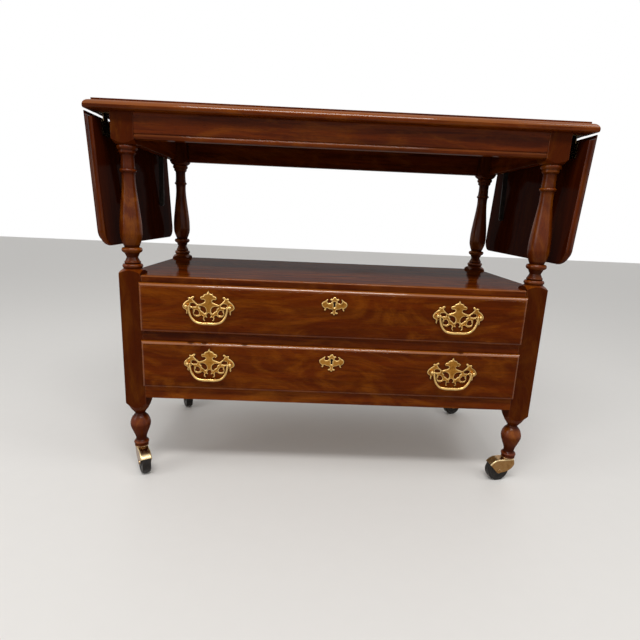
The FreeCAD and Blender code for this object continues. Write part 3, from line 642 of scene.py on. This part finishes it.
def turning_rule():
    """A post turned from a square billet: its round outline cut by the billet's four sides."""
    tree, entry = rule_tree("turned_post", {"Side": "Float", "Easing": "Float", "Divisions": "Int",
                                            "Foot": "Vector", "Head": "Vector"})
    wire = Wire(tree)
    radius = wire.node("GeometryNodeInputNamedAttribute", {"data_type": "FLOAT"}, {"Name": "turned_radius"})
    axis = wire.node("GeometryNodeMeshToCurve", inputs={"Mesh": entry["Geometry"]})
    ring = wire.node("GeometryNodeCurvePrimitiveCircle",
                     inputs={"Resolution": entry["Divisions"], "Radius": 1.0})
    turned = wire.node("GeometryNodeCurveToMesh",
                       inputs={"Curve": axis, "Profile Curve": ring, "Scale": radius, "Fill Caps": True})
    square = wire.node("GeometryNodeCurvePrimitiveQuadrilateral",
                       inputs={"Width": entry["Side"], "Height": entry["Side"]})
    soft = wire.node("GeometryNodeFilletCurve", {"mode": "POLY"},
                     {"Curve": square, "Count": 3, "Radius": entry["Easing"]})
    line = wire.node("GeometryNodeCurvePrimitiveLine",
                     inputs={"Start": entry["Foot"], "End": entry["Head"]})
    billet = wire.node("GeometryNodeCurveToMesh",
                       inputs={"Curve": line, "Profile Curve": soft, "Fill Caps": True})
    post = wire.node("GeometryNodeMeshBoolean", {"operation": "INTERSECT", "solver": "EXACT"},
                     {"Mesh 2": [turned, billet]})
    close_rule(entry, post)
    return tree


def turned_outline(node):
    """Heights and radii of a turned CAD piece from its foot up, wider than the billet where square."""
    wood = bpy.context.scene.cart_wood
    low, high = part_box(node)
    axis = (low + high) / 2
    rings = {}
    for vertex in frame["nodes"][node].data.vertices:
        radius = math.hypot(vertex.co.x - axis.x, vertex.co.y - axis.y)
        if radius > wood.thinnest:
            rings.setdefault(round(vertex.co.z, 6), set()).add(round(radius, 6))
    outline = []
    corner = HALF_DIAGONAL * wood.post_side
    for height in sorted(rings):
        last = outline[-1] if outline else (height - wood.turning_step, 0.0)
        for radius in sorted(rings[height], key=lambda value: abs(value - last[1])):
            if math.dist(last, (height, radius)) < wood.turning_step:
                continue
            if last[1] > corner and radius > corner:
                outline.append((last[0] + HAIR, wood.post_side))
                outline.append((height - HAIR, wood.post_side))
            last = (max(height, last[0] + HAIR), radius)
            outline.append(last)
    return outline


def turned_hollows(piece, outline):
    """How much painted shade darkens each point of a turned post, from 0 to 1.

    It grows with the depth of the point inside the mean of the outline above and below it.
    """
    heights, radii = np.array(outline).T
    radii = np.minimum(radii, bpy.context.scene.cart_wood.post_side / 2)
    places = np.array([vertex.co.z for vertex in piece.data.vertices])
    here = np.interp(places, heights, radii)
    depths = 0.0
    for reach, deepest in HOLLOWS:
        nearby = places[:, None] + np.linspace(-reach, reach, 25)
        around = np.interp(nearby, heights, radii).mean(axis=1)
        depths = depths + SHADE_SHARE * np.clip((around - here) / deepest, 0.0, 1.0)
    return np.minimum(depths, 1.0)


def screw_rule():
    """Slotted screw heads: one on each point, square to the point's own facing, turned at random."""
    tree, entry = rule_tree("screw_heads", {"Radius": "Float", "Rise": "Float", "Slot": "Vector",
                                            "Seed": "Int"})
    wire = Wire(tree)
    head = wire.node("GeometryNodeMeshCone",
                     inputs={"Vertices": SCREW_FACETS, "Radius Top": entry["Radius"] * SCREW_TAPER,
                             "Radius Bottom": entry["Radius"], "Depth": entry["Rise"]})
    slot = wire.node("GeometryNodeMeshCube", inputs={"Size": entry["Slot"]})
    lifted = wire.node("ShaderNodeCombineXYZ", inputs={"Z": entry["Rise"]})
    slot = wire.node("GeometryNodeTransform", inputs={"Geometry": slot, "Translation": lifted})
    head = wire.node("GeometryNodeMeshBoolean", {"operation": "DIFFERENCE", "solver": "EXACT"},
                     {"Mesh 1": head, "Mesh 2": slot})
    facing = wire.node("GeometryNodeInputNamedAttribute", {"data_type": "FLOAT_VECTOR"}, {"Name": "facing"})
    square = wire.node("FunctionNodeAlignRotationToVector", {"axis": "Z"}, {"Vector": facing})
    turn = wire.node("FunctionNodeRandomValue", {"data_type": "FLOAT"},
                     {2: 0.0, 3: math.pi, 8: entry["Seed"]}, 1)
    spin = wire.node("FunctionNodeAxisAngleToRotation", inputs={"Axis": (0.0, 0.0, 1.0), "Angle": turn})
    turned = wire.node("FunctionNodeRotateRotation", {"rotation_space": "LOCAL"},
                       {"Rotation": square, "Rotate By": spin})
    heads = wire.node("GeometryNodeInstanceOnPoints",
                      inputs={"Points": entry["Geometry"], "Instance": head, "Rotation": turned})
    close_rule(entry, heads)
    return tree


def screw_places(node, under_top):
    """Three places on the broad open face of each hinge plate, with the way each one faces.

    A plate under the top faces down and runs inward from its knuckle. A leaf's plate faces inward
    and runs down.
    """
    down = Vector((0.0, 0.0, -1.0))
    work = welded(node)
    broadest = max(face.calc_area() for face in work.faces)
    places = []
    for face in work.faces:
        centre = face.calc_center_bounds()
        inward = Vector((-math.copysign(1.0, centre.x), 0.0, 0.0))
        facing, lengthwise = (down, inward) if under_top else (inward, down)
        if face.calc_area() > 0.9 * broadest and face.normal.dot(facing) > 0.9:
            reach = max(abs((vertex.co - centre).dot(lengthwise)) for vertex in face.verts)
            wide = max(abs(vertex.co.y - centre.y) for vertex in face.verts)
            for across, along in SCREW_SPOTS:
                place = centre + lengthwise * (along * reach)
                place.y += across * wide
                flat = place - face.normal * (place - centre).dot(face.normal)
                places.append((flat, face.normal.copy()))
    work.free()
    return places


# Pieces

# Name, place, aim, width and height in metres, and watts of each lamp
LAMPS = (
    ("ceiling_front", (-0.1, -1.25, 2.25), (0.0, 0.0, 0.4), (1.4, 0.35), 27.0),
    ("ceiling_right", (1.5, -0.7, 2.2), (0.1, 0.0, 0.4), (0.8, 0.8), 9.0),
    ("window_left", (-2.3, -1.0, 1.3), (0.0, 0.0, 0.4), (1.0, 1.4), 13.0),
)

# Node, axis of the grain, figure, depth and shine of each board
BOARDS = (
    ("tabletop", "x", 0.4, -0.12, 0.9),
    ("front_apron", "x", 0.3, 0.0, 1.1),
    ("back_apron", "x", 0.3, 0.0, 1.0),
    ("left_apron", "y", 0.3, 0.0, 1.0),
    ("right_apron", "y", 0.3, 0.0, 1.0),
    ("divider_rail", "x", 0.25, 0.0, 0.8),
    ("bottom_rail", "x", 0.65, -0.25, 0.8),
    ("back_panel", "x", 0.2, 0.05, 1.0),
    ("left_side_panel", "y", 0.3, 0.0, 1.0),
    ("right_side_panel", "y", 0.3, 0.0, 1.0),
    ("shelf_panel", "x", 0.35, 0.0, 1.0),
)

# Part, axis of the grain and step of the seed of the plain wood in a drawer
BOX_PARTS = (("sides", "y", 5), ("back", "x", 4), ("bottom", "x", 6))

# First seed of each kind of piece. Pieces of plain wood that share one differ in the grain's axis.
POST_SEED = len(BOARDS)
LEAF_SEED = 20
DRAWER_SEED = 30
RUNNER_SEED = 50

# Pale nicks down the right leaf's front edge: shares of its height from the top, and their reach
NICKS = (0.19, 0.33, 0.4)
NICK_REACH = (6 * MM, 6 * MM, 3.5 * MM)

# Worn places along the lower drawer's upper lip: shares of its width from the left, how far they lie
# behind its front, and their reach
LIP_MARKS = (0.13, 0.165, 0.27, 0.84)
LIP_MARK_INSET = 4 * MM
LIP_MARK_REACH = (11 * MM, 14 * MM, 5 * MM)

# The painted shade sheet in each keyhole: half its width, its thickness, half its height and the corners
# round it
KEYHOLE_SHEET = (4.2 * MM, 0.25 * MM, 7.0 * MM)
KEYHOLE_SHEET_STEPS = 28


class CART_OT_stage(bpy.types.Operator):
    """Builds the floor, the lamps, the surroundings and the camera"""
    bl_idname = "cart.stage"
    bl_label = "Stage"

    def execute(self, context):
        stage = context.scene.cart_stage
        self.floor(stage)
        self.world(stage)
        self.lamps()
        self.camera(stage)
        context.scene.view_settings.view_transform = "Standard"
        return {"FINISHED"}

    def floor(self, stage):
        """A pale, faintly mottled floor."""
        half = stage.floor_size / 2
        mesh = bpy.data.meshes.new("floor")
        corners = [(-half, -half, 0.0), (half, -half, 0.0), (half, half, 0.0), (-half, half, 0.0)]
        mesh.from_pydata(corners, [], [(0, 1, 2, 3)])
        floor = new_object("floor", mesh)
        material, wire = new_material("floor")
        fine = noise(wire, object_place(wire), 30.0, 4.0)
        base = (fine * 0.4).blend(stage.floor, [0.94 * part for part in stage.floor])
        close_material(wire, {"Base Color": base, "Roughness": 0.55})
        mesh.materials.append(material)

    def world(self, stage):
        """White where the camera, a mirror or glass sees it, and dimmer as a light."""
        world = bpy.data.worlds.new("room")
        bpy.context.scene.world = world
        world.use_nodes = True
        world.node_tree.nodes.clear()
        wire = Wire(world.node_tree)
        seen = 0.0
        for ray in ("Is Camera Ray", "Is Glossy Ray", "Is Transmission Ray"):
            seen = wire.node("ShaderNodeLightPath", output=ray) + seen
        strength = seen * (1.0 - stage.world) + stage.world
        light = wire.node("ShaderNodeBackground",
                          inputs={"Color": (1.0, 1.0, 1.0, 1.0), "Strength": strength})
        wire.node("ShaderNodeOutputWorld", inputs={"Surface": light})

    def lamps(self):
        """Oblong lamps, each turned to its aim."""
        for name, place, aim, size, power in LAMPS:
            data = bpy.data.lights.new(name, "AREA")
            data.shape = "RECTANGLE"
            data.size, data.size_y = size
            data.energy = power
            lamp = new_object(name, data)
            lamp.location = place
            lamp.rotation_euler = (Vector(aim) - Vector(place)).to_track_quat("-Z", "Y").to_euler()

    def camera(self, stage):
        """The camera, turned by its yaw from +Y, then its pitch up and its roll."""
        data = bpy.data.cameras.new("camera")
        data.lens = stage.lens
        data.sensor_width = SENSOR_WIDTH
        camera = new_object("camera", data)
        yaw, pitch, roll = stage.camera_turn
        forward = Vector((-math.sin(yaw) * math.cos(pitch), math.cos(yaw) * math.cos(pitch),
                          math.sin(pitch)))
        level = Vector((math.cos(yaw), math.sin(yaw), 0.0))
        upward = level.cross(forward)
        right = level * math.cos(roll) + upward * math.sin(roll)
        top = upward * math.cos(roll) - level * math.sin(roll)
        axes = Matrix((right, top, -forward)).transposed()
        camera.matrix_world = Matrix.Translation(stage.camera_place) @ axes.to_4x4()
        bpy.context.scene.camera = camera


class CART_OT_woodwork(bpy.types.Operator):
    """Dresses the top, leaves, aprons, posts, shelf and case"""
    bl_idname = "cart.woodwork"
    bl_label = "Woodwork"

    def execute(self, context):
        wood = context.scene.cart_wood
        for seed, (node, along, figure, depth, shine) in enumerate(BOARDS):
            width = wood.shelf_easing if node == "shelf_panel" else wood.easing
            # The second number lightens rounded edges, most on top: real wear with a painted highlight
            edge_shine, wear_and_highlight = (0.08, 0.2) if node.endswith("apron") else (0.55, 0.6)
            material = mahogany(node, along, seed, figure, depth, shine, edge_shine, wear_and_highlight=wear_and_highlight)
            dress(eased(node, width), material, "mahogany", BODY_OF[node], node)
        self.posts(wood)
        self.leaves(wood)
        return {"FINISHED"}

    def posts(self, wood):
        """Turns each post again, finer, from its own outline."""
        tree = turning_rule()
        for seed, corner in enumerate(CORNERS, POST_SEED):
            node = f"{corner}_post"
            low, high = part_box(node)
            axis = (low + high) / 2
            outline = turned_outline(node)
            mesh = bpy.data.meshes.new(f"turned_{node}")
            points = [(axis.x, axis.y, height) for height, radius in outline]
            mesh.from_pydata(points, [(index, index + 1) for index in range(len(points) - 1)], [])
            piece = new_object(mesh.name, mesh)
            note(piece, "turned_radius", "POINT", [radius for height, radius in outline])
            # Painted shade on the billet's flat faces and on the undersides of the turning
            material = mahogany(node, "z", seed, 1.0, -0.5, 0.5, 0.45, painted_flat_shade=0.7, satin=0.22)
            follow_rule(piece, tree, {
                "Material": material, "Side": wood.post_side, "Easing": wood.easing,
                "Divisions": wood.divisions,
                "Foot": (axis.x, axis.y, low.z - MM), "Head": (axis.x, axis.y, high.z + MM)})
            smooth(piece, 20.0)
            note_rounding(piece, wood.least_flat)
            # Painted shade in the turning's grooves and necks
            note(piece, "painted_shade", "POINT", turned_hollows(piece, outline))
            dress(piece, material, "mahogany", BODY_OF[node], node)

    def leaves(self, wood):
        """The leaves get painted shade on their inner faces, and the right one's front edge has a few pale
        nicks.
        """
        for seed, side in enumerate(SIDES, LEAF_SEED):
            node = f"{side}_leaf"
            low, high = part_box(node)
            tall = high.z - low.z
            nicks = []
            if side == "right":
                nicks = [((high.x, low.y, high.z - drop * tall), NICK_REACH) for drop in NICKS]
            material = mahogany(node, "z", seed, 0.3, 0.25, 0.4, 0.3, pale_marks=nicks)
            piece = eased(node, wood.easing / 2)
            inward = 1.0 if side == "left" else -1.0
            # Painted shade: the inner face of each leaf is darkened
            inside = [float(face.normal.x * inward > 0.9) for face in piece.data.polygons]
            note(piece, "painted_shade", "FACE", inside)
            dress(piece, material, "mahogany", BODY_OF[node], node)


class CART_OT_drawers(bpy.types.Operator):
    """Dresses the drawer fronts, the drawer boxes and their runners"""
    bl_idname = "cart.drawers"
    bl_label = "Drawers"

    def execute(self, context):
        wood = context.scene.cart_wood
        for seed, drawer in enumerate(DRAWERS, DRAWER_SEED):
            node = f"{drawer}_drawer_front"
            marks = self.lip_marks(node) if drawer == "lower" else ()
            # Lips lightened fully, most on top: real wear with a painted highlight
            material = mahogany(node, "x", seed, 0.5, -0.1, 0.35, 1.1, streak=0.5, wear_and_highlight=1.0, coat=1.7,
                                marks=marks)
            dress(eased(node, wood.easing), material, "mahogany", BODY_OF[node], node)
            for part, along, step in BOX_PARTS:
                self.box_part(f"{drawer}_drawer_{part}", along, seed + step)
        self.box_part("drawer_runners", "y", RUNNER_SEED)
        return {"FINISHED"}

    def box_part(self, node, along, seed):
        """Dresses one piece of plain wood."""
        width = bpy.context.scene.cart_wood.easing
        dress(eased(node, width), plain_wood(node, along, seed), "drawer_wood", BODY_OF[node], node)

    def lip_marks(self, node):
        """Places on the lower drawer's upper lip where the polish is rubbed through."""
        low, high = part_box(node)
        wide = high.x - low.x
        inset = low.y + LIP_MARK_INSET
        return [((low.x + across * wide, inset, high.z), LIP_MARK_REACH) for across in LIP_MARKS]


class CART_OT_pulls(bpy.types.Operator):
    """Makes the cast brass pulls and keyhole plates"""
    bl_idname = "cart.pulls"
    bl_label = "Pulls"

    def execute(self, context):
        brass = context.scene.cart_brass
        plate_finish = cast_brass("plate_brass", brass.bright, 0.7, relief=True)
        bail_finish = cast_brass("bail_brass", brass.bright, 0.25)
        for drawer in DRAWERS:
            for side in SIDES:
                self.plate(f"{drawer}_{side}_pull_plate", plate_finish)
                node = f"{drawer}_{side}_bail"
                dress(cast(node, brass.voxel, 3), bail_finish, "polished_brass", BODY_OF[node], node)
            node = f"{drawer}_pull_posts"
            dress(eased(node, brass.pull_easing, 2), bail_finish, "polished_brass", BODY_OF[node], node)
            node = f"{drawer}_keyhole_plate"
            self.plate(node, plate_finish)
            self.keyhole_shade_sheet(node, f"{drawer}_keyhole_shade_sheet")
        return {"FINISHED"}

    def plate(self, node, finish):
        """A cast plate with swelling scrolls."""
        piece = cast(node, bpy.context.scene.cart_brass.voxel)
        swell_plate(piece, node)
        dress(piece, finish, "polished_brass", BODY_OF[node], node)

    def keyhole_shade_sheet(self, plate, name):
        """Painted shade in the keyhole: a thin dark sheet just proud of the wood."""
        low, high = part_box(plate)
        middle_x = (low.x + high.x) / 2
        middle_z = (low.z + high.z) / 2
        half_width, thickness, half_height = KEYHOLE_SHEET
        turns = [math.tau * step / KEYHOLE_SHEET_STEPS for step in range(KEYHOLE_SHEET_STEPS)]
        outline = [(middle_x + half_width * math.cos(turn), middle_z + half_height * math.sin(turn))
                   for turn in turns]
        mesh = bpy.data.meshes.new(name)
        work = bmesh.new()
        back = [work.verts.new((x, high.y, z)) for x, z in outline]
        front = [work.verts.new((x, high.y - thickness, z)) for x, z in outline]
        work.faces.new(back[::-1])
        work.faces.new(front)
        for step in range(KEYHOLE_SHEET_STEPS):
            after = (step + 1) % KEYHOLE_SHEET_STEPS
            work.faces.new((back[step], back[after], front[after], front[step]))
        bmesh.ops.recalc_face_normals(work, faces=work.faces)
        work.to_mesh(mesh)
        work.free()
        # Painted shade sheet, given the dark iron's slot
        dress(new_object(name, mesh), keyhole_shade_finish(name), "dark_iron", BODY_OF[plate])


class CART_OT_casters(bpy.types.Operator):
    """Dresses the caster hoods, axles, wheels and sockets"""
    bl_idname = "cart.casters"
    bl_label = "Casters"

    def execute(self, context):
        brass = context.scene.cart_brass
        tyre_easing = context.scene.cart_dark.tyre_easing
        # The hoods' flat sides and undersides take a painted reflection and painted shade
        finish = cast_brass("caster_brass", brass.caster, 0.3, painted_side_tone=brass.painted_caster_side)
        rubber = wheel_rubber("wheel_rubber")
        for corner in CORNERS:
            for part, width in (("hood", brass.hood_easing), ("axle", brass.axle_easing)):
                node = f"{corner}_caster_{part}"
                dress(eased(node, width, angle=40.0), finish, "caster_brass", BODY_OF[node], node)
            node = f"{corner}_caster_wheel"
            dress(eased(node, tyre_easing), rubber, "wheel_rubber", BODY_OF[node], node)
        node = "caster_sockets"
        dress(eased(node, brass.socket_easing), finish, "caster_brass", BODY_OF[node], node)
        return {"FINISHED"}


class CART_OT_metalwork(bpy.types.Operator):
    """Dresses the hinges, prop stays and brackets"""
    bl_idname = "cart.metalwork"
    bl_label = "Hinges and stays"

    def execute(self, context):
        brass = context.scene.cart_brass
        hinge_finish = cast_brass("hinge_brass", brass.hinge, 0.6)
        iron = dark_metal("dark_iron")
        for node in ("top_hinge_plates", "left_leaf_hinge_plates", "right_leaf_hinge_plates", "hinge_pins"):
            dress(eased(node, brass.hinge_easing, 2), hinge_finish, "hinge_brass", BODY_OF[node], node)
        self.screws(brass, hinge_finish)
        for node in ("stay_brackets", *(f"{corner}_stay" for corner in CORNERS)):
            dress(eased(node, brass.iron_easing, 2), iron, "dark_iron", BODY_OF[node], node)
        return {"FINISHED"}

    def screws(self, brass, finish):
        """Three screws in every hinge plate."""
        tree = screw_rule()
        long, wide, deep = SCREW_SLOT
        slot = (long * brass.screw_radius, wide * brass.screw_radius, deep * brass.screw_rise)
        for seed, part in enumerate(("top", "left_leaf", "right_leaf")):
            node = f"{part}_hinge_plates"
            places = screw_places(node, part == "top")
            mesh = bpy.data.meshes.new(f"{part}_hinge_screws")
            mesh.from_pydata([place for place, facing in places], [], [])
            ways = mesh.attributes.new("facing", "FLOAT_VECTOR", "POINT")
            ways.data.foreach_set("vector", [value for place, facing in places for value in facing])
            piece = follow_rule(new_object(mesh.name, mesh), tree, {
                "Material": finish, "Radius": brass.screw_radius, "Rise": brass.screw_rise, "Slot": slot,
                "Seed": seed})
            smooth(piece, 30.0)
            dress(piece, finish, "hinge_brass", BODY_OF[node])


class CART_PT_panel(bpy.types.Panel):
    """Lists the cart's sizes, its colours and its pieces"""
    bl_label = "Bar cart"
    bl_idname = "CART_PT_panel"
    bl_space_type = "VIEW_3D"
    bl_region_type = "UI"
    bl_category = "Bar cart"

    def draw(self, context):
        for group in GROUPS:
            settings = getattr(context.scene, group)
            for name in settings.__annotations__:
                self.layout.prop(settings, name)
        for step in OPERATORS:
            self.layout.operator(step.bl_idname)


OPERATORS = (CART_OT_stage, CART_OT_woodwork, CART_OT_drawers, CART_OT_pulls, CART_OT_casters,
             CART_OT_metalwork)
GROUPS = {"cart_wood": CartWood, "cart_brass": CartBrass, "cart_dark": CartDark, "cart_stage": CartStage}
CLASSES = (*GROUPS.values(), *OPERATORS, CART_PT_panel)


def register():
    for made in CLASSES:
        bpy.utils.register_class(made)
    for name, group in GROUPS.items():
        setattr(bpy.types.Scene, name, bpy.props.PointerProperty(type=group))


def unregister():
    for name in GROUPS:
        delattr(bpy.types.Scene, name)
    for made in reversed(CLASSES):
        bpy.utils.unregister_class(made)


def main():
    register()
    bpy.ops.cart.stage()
    bpy.ops.cart.woodwork()
    bpy.ops.cart.drawers()
    bpy.ops.cart.pulls()
    bpy.ops.cart.casters()
    bpy.ops.cart.metalwork()


if __name__ == "__main__":
    main()
